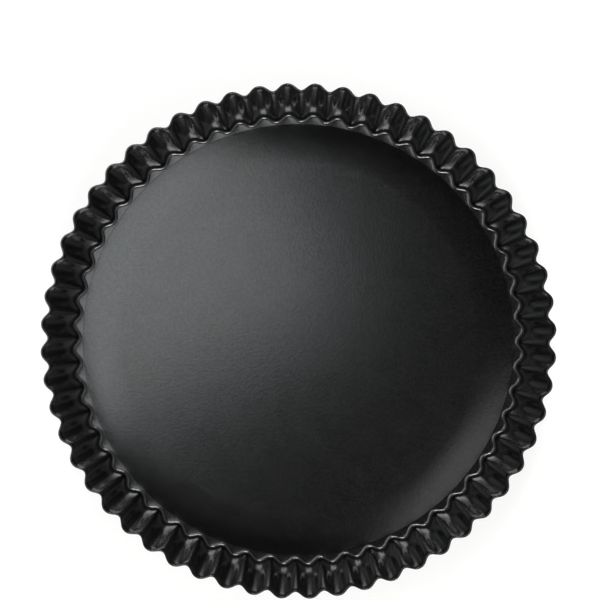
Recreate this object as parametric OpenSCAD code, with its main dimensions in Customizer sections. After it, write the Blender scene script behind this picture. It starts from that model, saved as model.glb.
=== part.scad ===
// Fluted flan dish: a pressed ring whose wall is fluted all round, and a loose base disc that lies
// on the ledge inside the ring's foot. Millimetres. The dish stands on z = 0, opening up, and its
// axis is the Z axis. A flute crest points along +X.

/* [Rim] */
// Diameter across the flute crests at the rim
rim_d = 230; // [200:1:300]
// Height of the rim above the table
height = 35; // [25:1:50]

/* [Sheet] */
// Thickness of the sheet that the ring is pressed from
sheet = 0.8; // [0.5:0.1:1.2]
// Lean of the wall outwards from upright, in degrees
wall_lean = 16; // [6:1:24]
// Inside radius of the bend between the ledge and the wall
bend_r = 2; // [1:0.25:3]

/* [Flutes] */
// Number of flutes round the wall
flutes = 56; // [40:1:64]
// Depth of a flute at the rim
rim_flute = 3.1; // [1.5:0.1:4]
// Depth of a flute at the foot of the wall
foot_flute = 2.8; // [1.5:0.1:4]
// How much fuller the outward crests are than the inward ridges
crest_fullness = 0.115; // [0:0.005:0.12]

/* [Loose base] */
// Thickness of the base disc
base_t = 0.8; // [0.5:0.1:1.5]
// Gap all round between the base disc and the bend at the foot of the ridges
base_gap = 0.4; // [0.2:0.1:1.5]
// Width of the ledge under the edge of the base disc
ledge_w = 7; // [4:0.5:15]
// Width of the broken edge of the base disc
edge_break = 0.2; // [0.05:0.05:0.2]

/* [Hidden] */
black_coat = "#1b1b1c";
// Columns of facets on each flute, an even number so that both crest and ridge fall on one
columns_per_flute = 10;
// Facets round the bend at the foot
bend_steps = 2;
columns = flutes * columns_per_flute;
// Radius of the ridges' outer face at the rim, and at the foot if the wall ran down to the table
rim_ridge_r = rim_d / 2 - rim_flute;
foot_ridge_r = rim_ridge_r - height * tan(wall_lean);
// Angle through which the sheet turns from the ledge up into the wall
bend_turn = 90 - wall_lean;
// Radius of the bend on the sheet's outer face, and how far the bend reaches in from the corner
outer_bend_r = bend_r + sheet;
bend_run = outer_bend_r * tan(bend_turn / 2);
// The base disc fills the flat of the ledge, and the ledge runs in under its edge
base_r = foot_ridge_r - bend_run - base_gap;
ledge_hole_r = base_r - ledge_w;

// Height of the flute wave at an angle round the dish: 0 on a ridge and 1 on a crest
function wave(a) = (1 + cos(flutes * a)) / 2 + crest_fullness * pow(sin(flutes * a), 2);

// Rise of that wave for each radian round the dish
function wave_rise(a) = flutes * (crest_fullness * sin(2 * flutes * a) - sin(flutes * a) / 2);

// A point in plan at radius r, and its outward normal where the outline rises by s for each radian
function plan_point(r, a) = r * [cos(a), sin(a)];
function plan_normal(r, s, a) = [r * cos(a) + s * sin(a), r * sin(a) - s * cos(a)] / norm([r, s]);

// The outline of a fluted level, given its ridge radius and flute depth
function outline_r(ridge_r, depth, a) = ridge_r + depth * wave(a);
function outline_point(ridge_r, depth, a) = plan_point(outline_r(ridge_r, depth, a), a);
function outline_normal(ridge_r, depth, a) =
    plan_normal(outline_r(ridge_r, depth, a), depth * wave_rise(a), a);

function at_height(p, z) = [p[0], p[1], z];

// A point on the bend: corner and normal in plan, bend radius of that face, and angle turned so far
function bend_point(corner, normal, r, turned) =
    at_height(corner + normal * (r * sin(turned) - bend_run), outer_bend_r - r * cos(turned));

function bend_points(corner, normal, r) =
    [for (k = [0:bend_steps]) bend_point(corner, normal, r, bend_turn * k / bend_steps)];

function reversed(list) = [for (k = [len(list) - 1:-1:0]) list[k]];

// The sheet's closed section at one angle: under the ledge, up the outside, over the rim and down
function ring_section(a) =
    let (
        corner = outline_point(foot_ridge_r, foot_flute, a),
        corner_normal = outline_normal(foot_ridge_r, foot_flute, a),
        rim = outline_point(rim_ridge_r, rim_flute, a),
        rim_normal = outline_normal(rim_ridge_r, rim_flute, a),
        hole = plan_point(ledge_hole_r, a)
    )
    concat(
        [at_height(hole, 0)],
        bend_points(corner, corner_normal, outer_bend_r),
        [at_height(rim, height), at_height(rim - rim_normal * sheet / cos(wall_lean), height)],
        reversed(bend_points(corner, corner_normal, bend_r)),
        [at_height(hole, sheet)]
    );

// Two triangles between neighbouring columns i and n and section points j and m, with the diagonal
// mirrored on the second half of each flute so that both flanks are alike
function facet_pair(i, n, j, m, rows) =
    let (a = i * rows + j, b = n * rows + j, c = n * rows + m, d = i * rows + m)
    i % columns_per_flute < columns_per_flute / 2
        ? [[a, b, c], [a, c, d]]
        : [[a, b, d], [b, c, d]];

module fluted_ring() {
    sections = [for (i = [0:columns - 1]) ring_section(i * 360 / columns)];
    rows = len(sections[0]);
    color(black_coat)
        polyhedron(
            points = [for (section = sections) each section],
            faces = [
                for (i = [0:columns - 1], j = [0:rows - 1])
                    each facet_pair(i, (i + 1) % columns, j, (j + 1) % rows, rows)
            ]
        );
}

module loose_base() {
    color(black_coat)
        translate([0, 0, sheet])
            rotate_extrude($fn = 240)
                polygon([
                    [0, 0],
                    [base_r - edge_break, 0],
                    [base_r, edge_break],
                    [base_r, base_t - edge_break],
                    [base_r - edge_break, base_t],
                    [0, base_t]
                ]);
}

fluted_ring();
loose_base();
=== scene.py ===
from math import atan, atan2, cos, pi, radians, sin, tan

import bmesh
import bpy
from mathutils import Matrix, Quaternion, Vector


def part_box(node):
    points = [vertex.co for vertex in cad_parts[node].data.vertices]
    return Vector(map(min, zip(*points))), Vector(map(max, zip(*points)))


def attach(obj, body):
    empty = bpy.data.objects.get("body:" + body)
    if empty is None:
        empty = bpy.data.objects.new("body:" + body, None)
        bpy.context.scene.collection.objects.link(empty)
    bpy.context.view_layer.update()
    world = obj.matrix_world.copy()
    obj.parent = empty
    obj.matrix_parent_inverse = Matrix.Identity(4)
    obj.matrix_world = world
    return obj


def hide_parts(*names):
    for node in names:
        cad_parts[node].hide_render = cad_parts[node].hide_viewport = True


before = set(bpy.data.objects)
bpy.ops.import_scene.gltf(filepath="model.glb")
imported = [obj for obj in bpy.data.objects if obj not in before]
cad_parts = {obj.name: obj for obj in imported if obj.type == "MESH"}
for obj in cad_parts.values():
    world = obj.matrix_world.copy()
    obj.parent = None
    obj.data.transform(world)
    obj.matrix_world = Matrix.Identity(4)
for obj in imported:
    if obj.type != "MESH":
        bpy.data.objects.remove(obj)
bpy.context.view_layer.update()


# The fluted ring is one blank of 0.8 mm sheet steel, drawn and trimmed in a press. Its wall leans
# out and is fluted all round, its rim is a plain cut edge, and its foot turns in to a flat ledge.
# One half flute is shaped from the ridge's profile, mirrored, and set round the dish.

# Sizes are in metres, as in the frame
_, ring_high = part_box("fluted_ring")
base_low, base_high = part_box("loose_base")
SHEET = base_low.z
RIM_R = ring_high.x
HEIGHT = ring_high.z
WALL_LEAN = radians(16)
BEND_R = 0.002
FLUTES = 56
RIM_FLUTE = 0.0031
FOOT_FLUTE = 0.0028
CREST_FULLNESS = 0.115
LEDGE_HOLE_R = base_high.x - 0.007
CUT_EDGE_ROUND = 0.00012

# Rows and columns of faces, the angles that part a sharp edge from a smooth one, and the gap
# within which two points are one
HALF_FLUTE = pi / FLUTES
HALF_FLUTE_COLUMNS = 12
BEND_ROWS = 6
WALL_CUTS = 7
LEDGE_CUTS = 2
SHARP_EDGE = radians(50)
SMOOTH_UP_TO = radians(40)
JOIN = 2e-6

rim_ridge_r = RIM_R - RIM_FLUTE
foot_ridge_r = rim_ridge_r - HEIGHT * tan(WALL_LEAN)
outer_bend_r = BEND_R + SHEET
bend_turn = pi / 2 - WALL_LEAN
bend_run = outer_bend_r * tan(bend_turn / 2)
bend_start_r = foot_ridge_r - bend_run


def select_vertices(piece, wanted):
    """Selects, in edit mode, the vertices for which wanted(vertex) is true, and nothing else."""
    mesh = bmesh.from_edit_mesh(piece.data)
    bpy.ops.mesh.select_mode(type="VERT")
    for vertex in mesh.verts:
        vertex.select_set(wanted(vertex))
    mesh.select_flush_mode()
    bmesh.update_edit_mesh(piece.data)


def select_edges(piece, wanted):
    """Selects, in edit mode, the edges for which wanted(edge) is true, and nothing else."""
    mesh = bmesh.from_edit_mesh(piece.data)
    bpy.ops.mesh.select_mode(type="EDGE")
    bpy.ops.mesh.select_all(action="DESELECT")
    for edge in mesh.edges:
        edge.select_set(wanted(edge))
    bmesh.update_edit_mesh(piece.data)


bpy.ops.object.select_all(action="DESELECT")
bpy.ops.mesh.primitive_plane_add(size=SHEET)
ring = bpy.context.object
ring.name = ring.data.name = "coated_ring"
bpy.ops.object.mode_set(mode="EDIT")
bpy.ops.mesh.select_all(action="SELECT")
bpy.ops.mesh.merge(type="CENTER")
bpy.ops.transform.translate(value=(LEDGE_HOLE_R, 0, 0))

# The ridge's profile, drawn on from the hole in the ledge, round the bend and up to the rim
profile = [(LEDGE_HOLE_R, 0), (bend_start_r, 0)]
for row in range(1, BEND_ROWS + 1):
    turned = bend_turn * row / BEND_ROWS
    profile.append((bend_start_r + outer_bend_r * sin(turned), outer_bend_r * (1 - cos(turned))))
profile.append((rim_ridge_r, HEIGHT))
for (here_r, here_z), (next_r, next_z) in zip(profile, profile[1:]):
    step = (next_r - here_r, 0, next_z - here_z)
    bpy.ops.mesh.extrude_region_move(TRANSFORM_OT_translate={"value": step})

# Spun through half a flute
bpy.ops.mesh.select_all(action="SELECT")
bpy.ops.mesh.spin(steps=HALF_FLUTE_COLUMNS, angle=-HALF_FLUTE, center=(0, 0, 0), axis=(0, 0, 1))


def wave(angle):
    """Height of the flute wave at an angle round the dish: 0 on a ridge and 1 on a crest."""
    return (1 + cos(FLUTES * angle)) / 2 + CREST_FULLNESS * sin(FLUTES * angle) ** 2


def wave_rise(angle):
    """Rise of that wave for each radian round the dish."""
    return FLUTES * (CREST_FULLNESS * sin(2 * FLUTES * angle) - sin(FLUTES * angle) / 2)


# Each column is pushed out to the wave, and its bend is turned to face squarely across the flank
vertex_column = {
    vertex.index: round(atan2(vertex.co.y, vertex.co.x) / HALF_FLUTE * HALF_FLUTE_COLUMNS)
    for vertex in bmesh.from_edit_mesh(ring.data).verts
}
for column in range(HALF_FLUTE_COLUMNS + 1):
    angle = HALF_FLUTE * column / HALF_FLUTE_COLUMNS
    outward = Vector((cos(angle), sin(angle), 0))
    select_vertices(ring, lambda v: vertex_column[v.index] == column and v.co.z > HEIGHT / 2)
    bpy.ops.transform.translate(value=outward * RIM_FLUTE * wave(angle))
    select_vertices(
        ring,
        lambda v: vertex_column[v.index] == column
        and v.co.z < HEIGHT / 2
        and v.co.xy.length > LEDGE_HOLE_R + SHEET,
    )
    bpy.ops.transform.translate(value=outward * FOOT_FLUTE * wave(angle))
    foot_r = foot_ridge_r + FOOT_FLUTE * wave(angle)
    bpy.ops.transform.rotate(
        value=atan(FOOT_FLUTE * wave_rise(angle) / foot_r),
        orient_axis="Z",
        center_override=outward * foot_r,
    )

# The long edges of the wall and of the ledge are cut, so that the faces stay near square
select_edges(ring, lambda edge: edge.calc_length() > HEIGHT / 2)
bpy.ops.mesh.subdivide(number_cuts=WALL_CUTS)
select_edges(ring, lambda edge: edge.calc_length() > 2 * outer_bend_r and edge.verts[0].co.z < SHEET)
bpy.ops.mesh.subdivide(number_cuts=LEDGE_CUTS)
bpy.ops.object.mode_set(mode="OBJECT")

# Mirrored to a whole flute, then set round the dish and joined into one skin
bpy.ops.object.modifier_add(type="MIRROR")
ring.modifiers[-1].use_axis = (False, True, False)
ring.modifiers[-1].merge_threshold = JOIN
bpy.ops.object.modifier_apply(modifier=ring.modifiers[-1].name)
bpy.ops.object.mode_set(mode="EDIT")
bpy.ops.mesh.select_all(action="SELECT")
bpy.ops.mesh.spin(
    steps=FLUTES - 1, angle=2 * pi * (FLUTES - 1) / FLUTES, dupli=True, center=(0, 0, 0), axis=(0, 0, 1)
)
bpy.ops.mesh.select_all(action="SELECT")
bpy.ops.mesh.remove_doubles(threshold=JOIN)
bpy.ops.mesh.normals_make_consistent(inside=False)
bpy.ops.object.mode_set(mode="OBJECT")

# The sheet's thickness goes inwards, the rim is trimmed level, and the cut edges are rounded off
bpy.ops.object.modifier_add(type="SOLIDIFY")
thickness = ring.modifiers[-1]
thickness.thickness = SHEET
thickness.offset = -1
thickness.use_even_offset = True
bpy.ops.object.modifier_apply(modifier=thickness.name)
bpy.ops.object.mode_set(mode="EDIT")
select_vertices(ring, lambda v: v.co.z > HEIGHT - CUT_EDGE_ROUND)
bpy.ops.transform.resize(value=(1, 1, 0), center_override=(0, 0, HEIGHT))
select_edges(ring, lambda edge: edge.calc_face_angle(0) > SHARP_EDGE)
bpy.ops.mesh.bevel(offset=CUT_EDGE_ROUND, segments=2, affect="EDGES")
bpy.ops.object.mode_set(mode="OBJECT")
bpy.ops.object.shade_smooth_by_angle(angle=SMOOTH_UP_TO)

# The coating is a two-layer fluoropolymer sprayed on grit-blasted steel and baked. It gives the eye
# a near-black satin with a fine pebbled grain, a gloss that varies a little from place to place,
# and the soft unevenness of a sheet that is never quite flat.
# Colour of the grain's pits and of its pebble tops: the grain's shade and light are painted into the
# near-black colour
COAT_BLACK_SHADED_PIT = "#030303"
COAT_BLACK_LIT_PEBBLE = "#101010"
# Such coatings are satin, at a roughness of about 0.3 and an IOR of 1.35 to 1.5. Both were then
# matched to the sheen of the object.
COAT_ROUGHNESS = 0.18
COAT_IOR = 1.7
# The real grain is a few tenths of a millimetre across, too fine to show, so it is drawn about
# 1 mm across. The patches of gloss and the waves of the sheet are broad enough to show as they are.
GRAIN = 0.00095
GRAIN_DEPTH = 0.000065
GRAIN_STRENGTH = 0.3
GLOSS_PATCH = 0.012
GLOSS_SPREAD = 0.01
WAVE_OF_SHEET = 0.045
WAVE_DEPTH = 0.0003
WAVE_STRENGTH = 0.15
# The part of each noise over which the painted shade of the grain and the patches go from one end to the
# other, and the specular level at those two ends
PEBBLE_SHADE_NOISE = (0.35, 0.65)
PATCH_NOISE = (0.3, 0.7)
SHEEN = (0.46, 0.54)


def linear(hex_colour):
    """An sRGB hex colour as the linear RGBA that a shader socket takes."""
    channels = [int(hex_colour[i:i + 2], 16) / 255 for i in (1, 3, 5)]
    return [c / 12.92 if c <= 0.04045 else ((c + 0.055) / 1.055) ** 2.4 for c in channels] + [1]


def add_node(tree, kind, settings=(), links=()):
    """Adds one node, with its settings by name or socket, and its inputs linked from other sockets."""
    node = tree.nodes.new(kind)
    for name, value in dict(settings).items():
        if name in node.inputs:
            node.inputs[name].default_value = value
        else:
            setattr(node, name, value)
    for name, source in dict(links).items():
        tree.links.new(source, node.inputs[name])
    return node


def baked_coating(name):
    """Black non-stick coating with the pebbled grain's shade painted into its colour; its sheen follows that
    grain, and the gloss varies in patches.
    """
    material = bpy.data.materials.new(name)
    material.use_nodes = True
    tree = material.node_tree
    tree.nodes.clear()
    place = add_node(tree, "ShaderNodeTexCoord").outputs["Object"]
    patches = add_node(
        tree,
        "ShaderNodeTexNoise",
        {"Scale": 1 / GLOSS_PATCH, "Detail": 4, "Roughness": 0.6},
        {"Vector": place},
    ).outputs["Fac"]
    grain = add_node(
        tree, "ShaderNodeTexNoise", {"Scale": 1 / GRAIN, "Detail": 3, "Roughness": 0.55}, {"Vector": place}
    ).outputs["Fac"]
    sheet_wave = add_node(
        tree, "ShaderNodeTexNoise", {"Scale": 1 / WAVE_OF_SHEET, "Detail": 1}, {"Vector": place}
    ).outputs["Fac"]
    # Painted shade of the grain: the colour is darker in its pits and lighter on its pebbles
    pebble_shade = add_node(
        tree,
        "ShaderNodeMapRange",
        {"From Min": PEBBLE_SHADE_NOISE[0], "From Max": PEBBLE_SHADE_NOISE[1]},
        {"Value": grain},
    ).outputs["Result"]
    coat_with_pebble_shade = add_node(tree, "ShaderNodeMix", {"data_type": "RGBA"}, {"Factor": pebble_shade})
    coat_with_pebble_shade.inputs[6].default_value = linear(COAT_BLACK_SHADED_PIT)
    coat_with_pebble_shade.inputs[7].default_value = linear(COAT_BLACK_LIT_PEBBLE)
    gloss = add_node(
        tree,
        "ShaderNodeMapRange",
        {
            "From Min": PATCH_NOISE[0],
            "From Max": PATCH_NOISE[1],
            "To Min": COAT_ROUGHNESS - GLOSS_SPREAD,
            "To Max": COAT_ROUGHNESS + GLOSS_SPREAD,
        },
        {"Value": patches},
    )
    flatness = add_node(
        tree,
        "ShaderNodeBump",
        {"Strength": WAVE_STRENGTH, "Distance": WAVE_DEPTH},
        {"Height": sheet_wave},
    )
    pebbles = add_node(
        tree,
        "ShaderNodeBump",
        {"Strength": GRAIN_STRENGTH, "Distance": GRAIN_DEPTH},
        {"Height": grain, "Normal": flatness.outputs["Normal"]},
    )
    sheen = add_node(
        tree, "ShaderNodeMapRange", {"To Min": SHEEN[0], "To Max": SHEEN[1]}, {"Value": pebble_shade}
    )
    coat = add_node(
        tree,
        "ShaderNodeBsdfPrincipled",
        {"IOR": COAT_IOR},
        {
            "Base Color": coat_with_pebble_shade.outputs[2],
            "Roughness": gloss.outputs["Result"],
            "Specular IOR Level": sheen.outputs["Result"],
            "Normal": pebbles.outputs["Normal"],
        },
    )
    add_node(tree, "ShaderNodeOutputMaterial", {}, {"Surface": coat.outputs["BSDF"]})
    return material


nonstick = baked_coating("baked_nonstick_coating")
ring.data.materials.append(nonstick)
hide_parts("fluted_ring")
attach(ring, "root")


# The loose base is a flat disc blanked from the same sheet and coated on both sides. It lies on the
# ring's ledge with a little play all round, and is pushed up from below to free what was baked.

BASE_R = base_high.x
BASE_THICKNESS = base_high.z - base_low.z
BASE_EDGE_ROUND = 0.0002
BASE_COLUMNS = 480
BASE_INSET = 0.018
BASE_INSETS = 5


def select_faces(piece, wanted):
    """Selects, in edit mode, the faces for which wanted(face) is true, and nothing else."""
    mesh = bmesh.from_edit_mesh(piece.data)
    bpy.ops.mesh.select_mode(type="FACE")
    bpy.ops.mesh.select_all(action="DESELECT")
    for face in mesh.faces:
        face.select_set(wanted(face))
    bmesh.update_edit_mesh(piece.data)


bpy.ops.object.select_all(action="DESELECT")
bpy.ops.mesh.primitive_cylinder_add(
    vertices=BASE_COLUMNS,
    radius=BASE_R,
    depth=BASE_THICKNESS,
    location=(0, 0, (base_low.z + base_high.z) / 2),
)
base = bpy.context.object
base.name = base.data.name = "coated_base"
bpy.ops.object.transform_apply(location=True, rotation=True, scale=True)
bpy.ops.object.mode_set(mode="EDIT")
select_edges(base, lambda edge: edge.calc_face_angle(0) > SHARP_EDGE)
bpy.ops.mesh.bevel(offset=BASE_EDGE_ROUND, segments=3, affect="EDGES")

# Each flat side is inset in rings, so that it isn't one huge face
for side in (1, -1):
    select_faces(base, lambda face: face.normal.z * side > 0.9 and face.calc_area() > BASE_R ** 2)
    for inset in range(BASE_INSETS):
        bpy.ops.mesh.inset(thickness=BASE_INSET)
bpy.ops.object.mode_set(mode="OBJECT")
bpy.ops.object.shade_smooth_by_angle(angle=SMOOTH_UP_TO)
base.data.materials.append(nonstick)
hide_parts("loose_base")
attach(base, "root")


# The camera looks straight down on the dish from about a metre above its rim, as the photograph
# does. Its place, lens and roll put the rim where the photograph has it.

PHOTO_PIXELS = 600
PHOTO_RIM_RADIUS = 258.2
PHOTO_RIM_CENTRE = (298.5, 341.0)
PHOTO_ROLL = radians(2.57)
CAMERA_ABOVE_RIM = 0.97
CAMERA_REACH = 50

metres_per_pixel = RIM_R / PHOTO_RIM_RADIUS
view_width = PHOTO_PIXELS * metres_per_pixel
camera_data = bpy.data.cameras.new("camera")
camera = bpy.data.objects.new("camera", camera_data)
bpy.context.scene.collection.objects.link(camera)
bpy.context.scene.camera = camera
camera_data.lens = camera_data.sensor_width * CAMERA_ABOVE_RIM / view_width
camera_data.clip_end = CAMERA_REACH
right_of_rim = PHOTO_PIXELS / 2 - PHOTO_RIM_CENTRE[0]
above_rim = PHOTO_RIM_CENTRE[1] - PHOTO_PIXELS / 2
off_axis = Vector((right_of_rim, above_rim, 0)) * metres_per_pixel
camera.rotation_euler = (0, 0, -PHOTO_ROLL)
off_axis.rotate(camera.rotation_euler)
camera.location = off_axis + Vector((0, 0, HEIGHT + CAMERA_ABOVE_RIM))


# The floor is a wide sheet of matt white paper. Where the camera, a mirror or glass looks at it, it
# also glows, fully far from the dish and less near it, so that it is white and keeps the shadow.
# The glow lights nothing else.

FLOOR_SIZE = 8
PAPER = "#bebebc"
GLOW_NEAR_DISH = 0.58
GLOW_FAR_OFF = 1.0
FADE_STARTS_AT = 0.4
FADE_ENDS_AT = 2.0

bpy.ops.object.select_all(action="DESELECT")
bpy.ops.mesh.primitive_plane_add(size=FLOOR_SIZE)
floor = bpy.context.object
floor.name = "floor"
paper = bpy.data.materials.new("white_paper_floor")
paper.use_nodes = True
tree = paper.node_tree
tree.nodes.clear()
rays = add_node(tree, "ShaderNodeLightPath").outputs
mirrored = add_node(tree, "ShaderNodeMath", {"operation": "MAXIMUM"})
tree.links.new(rays["Is Glossy Ray"], mirrored.inputs[0])
tree.links.new(rays["Is Transmission Ray"], mirrored.inputs[1])
seen = add_node(tree, "ShaderNodeMath", {"operation": "MAXIMUM"})
tree.links.new(rays["Is Camera Ray"], seen.inputs[0])
tree.links.new(mirrored.outputs[0], seen.inputs[1])
matt = add_node(tree, "ShaderNodeBsdfDiffuse", {"Color": linear(PAPER)})
place = add_node(tree, "ShaderNodeTexCoord").outputs["Object"]
far = add_node(tree, "ShaderNodeVectorMath", {"operation": "LENGTH"}, {"Vector": place}).outputs["Value"]
fade = add_node(
    tree,
    "ShaderNodeMapRange",
    {
        "From Min": FADE_STARTS_AT,
        "From Max": FADE_ENDS_AT,
        "To Min": GLOW_NEAR_DISH,
        "To Max": GLOW_FAR_OFF,
    },
    {"Value": far},
)
glow = add_node(tree, "ShaderNodeEmission", {}, {"Strength": fade.outputs["Result"]})
both = add_node(tree, "ShaderNodeAddShader")
tree.links.new(matt.outputs[0], both.inputs[0])
tree.links.new(glow.outputs[0], both.inputs[1])
shown = add_node(tree, "ShaderNodeMixShader", {}, {"Fac": seen.outputs[0]})
tree.links.new(matt.outputs[0], shown.inputs[1])
tree.links.new(both.outputs[0], shown.inputs[2])
add_node(tree, "ShaderNodeOutputMaterial", {}, {"Surface": shown.outputs[0]})
floor.data.materials.append(paper)


# The studio round the dish: pale walls that darken upwards to a nearly dark ceiling, and in the
# ceiling a ring of light, which the flutes mirror, by way of the base, as grey bands. The camera
# sees plain white. Heights here are 0 at the horizon and 1 straight above.

WALL_LIGHT = 1.0
WALL_TOP = 0.6
CEILING_LIGHT = 0.02
RING_LIGHT = 1.2
RING_BOTTOM = (0.66, 0.72)
RING_TOP = (0.80, 0.84)

world = bpy.data.worlds.new("studio_air")
bpy.context.scene.world = world
world.use_nodes = True
tree = world.node_tree
tree.nodes.clear()
seen = add_node(tree, "ShaderNodeLightPath").outputs["Is Camera Ray"]
place = add_node(tree, "ShaderNodeTexCoord").outputs["Generated"]
height = add_node(tree, "ShaderNodeSeparateXYZ", {}, {"Vector": place}).outputs["Z"]
walls = add_node(
    tree,
    "ShaderNodeMapRange",
    {"From Min": WALL_TOP, "From Max": 0.0, "To Min": CEILING_LIGHT, "To Max": WALL_LIGHT},
    {"Value": height},
)
ring_foot = add_node(
    tree,
    "ShaderNodeMapRange",
    {"From Min": RING_BOTTOM[0], "From Max": RING_BOTTOM[1], "To Max": RING_LIGHT},
    {"Value": height},
)
ring_light = add_node(
    tree,
    "ShaderNodeMapRange",
    {"From Min": RING_TOP[1], "From Max": RING_TOP[0]},
    {"Value": height, "To Max": ring_foot.outputs["Result"]},
)
studio = add_node(tree, "ShaderNodeMath", {"operation": "ADD"})
tree.links.new(walls.outputs["Result"], studio.inputs[0])
tree.links.new(ring_light.outputs["Result"], studio.inputs[1])
strength = add_node(
    tree, "ShaderNodeMapRange", {"To Max": 1.0}, {"Value": seen, "To Min": studio.outputs["Value"]}
)
air = add_node(
    tree, "ShaderNodeBackground", {"Color": (1, 1, 1, 1)}, {"Strength": strength.outputs["Result"]}
)
add_node(tree, "ShaderNodeOutputWorld", {}, {"Surface": air.outputs[0]})


# Four soft boxes hang over the dish. The key box gives the base its broad sheen on the left, and
# the corner box the one at the lower right. The slim far and near boxes are brighter, and draw the
# bands of light down the flutes.

BOX_HEIGHT = 1.3
KEY_PLACE = (-0.353, 0.16)
KEY_WIDTH = 0.6
KEY_WATTS = 2.72
KEY_TURN = 25
KEY_COLOUR = "#f8fdff"
CORNER_PLACE = (0.56, -0.54)
CORNER_WIDTH = 0.72
CORNER_WATTS = 1.45
SLIM_AWAY = 1.03
SLIM_WIDTH = 0.7
SLIM_LENGTH = 0.25
SLIM_WATTS = 12.5


def soft_box(name, place, aim, width, length, watts, turn=0, colour="#ffffff"):
    """A rectangular soft light at a place, turned to face the point aim, and turned about its own axis."""
    lamp = bpy.data.lights.new(name, "AREA")
    lamp.shape = "RECTANGLE"
    lamp.size = width
    lamp.size_y = length
    lamp.energy = watts
    lamp.color = linear(colour)[:3]
    box = bpy.data.objects.new(name, lamp)
    bpy.context.scene.collection.objects.link(box)
    box.location = place
    facing = (Vector(aim) - Vector(place)).to_track_quat("-Z", "Y")
    box.rotation_euler = (facing @ Quaternion((0, 0, 1), radians(turn))).to_euler()


soft_box(
    "key_box",
    (*KEY_PLACE, BOX_HEIGHT),
    (*KEY_PLACE, 0),
    KEY_WIDTH,
    KEY_WIDTH,
    KEY_WATTS,
    KEY_TURN,
    KEY_COLOUR,
)
soft_box(
    "corner_box", (*CORNER_PLACE, BOX_HEIGHT), (*CORNER_PLACE, 0), CORNER_WIDTH, CORNER_WIDTH, CORNER_WATTS
)
soft_box("far_box", (0, SLIM_AWAY, BOX_HEIGHT), (0, 0, 0), SLIM_WIDTH, SLIM_LENGTH, SLIM_WATTS)
soft_box("near_box", (0, -SLIM_AWAY, BOX_HEIGHT), (0, 0, 0), SLIM_WIDTH, SLIM_LENGTH, SLIM_WATTS)

bpy.context.scene.view_settings.view_transform = "Standard"
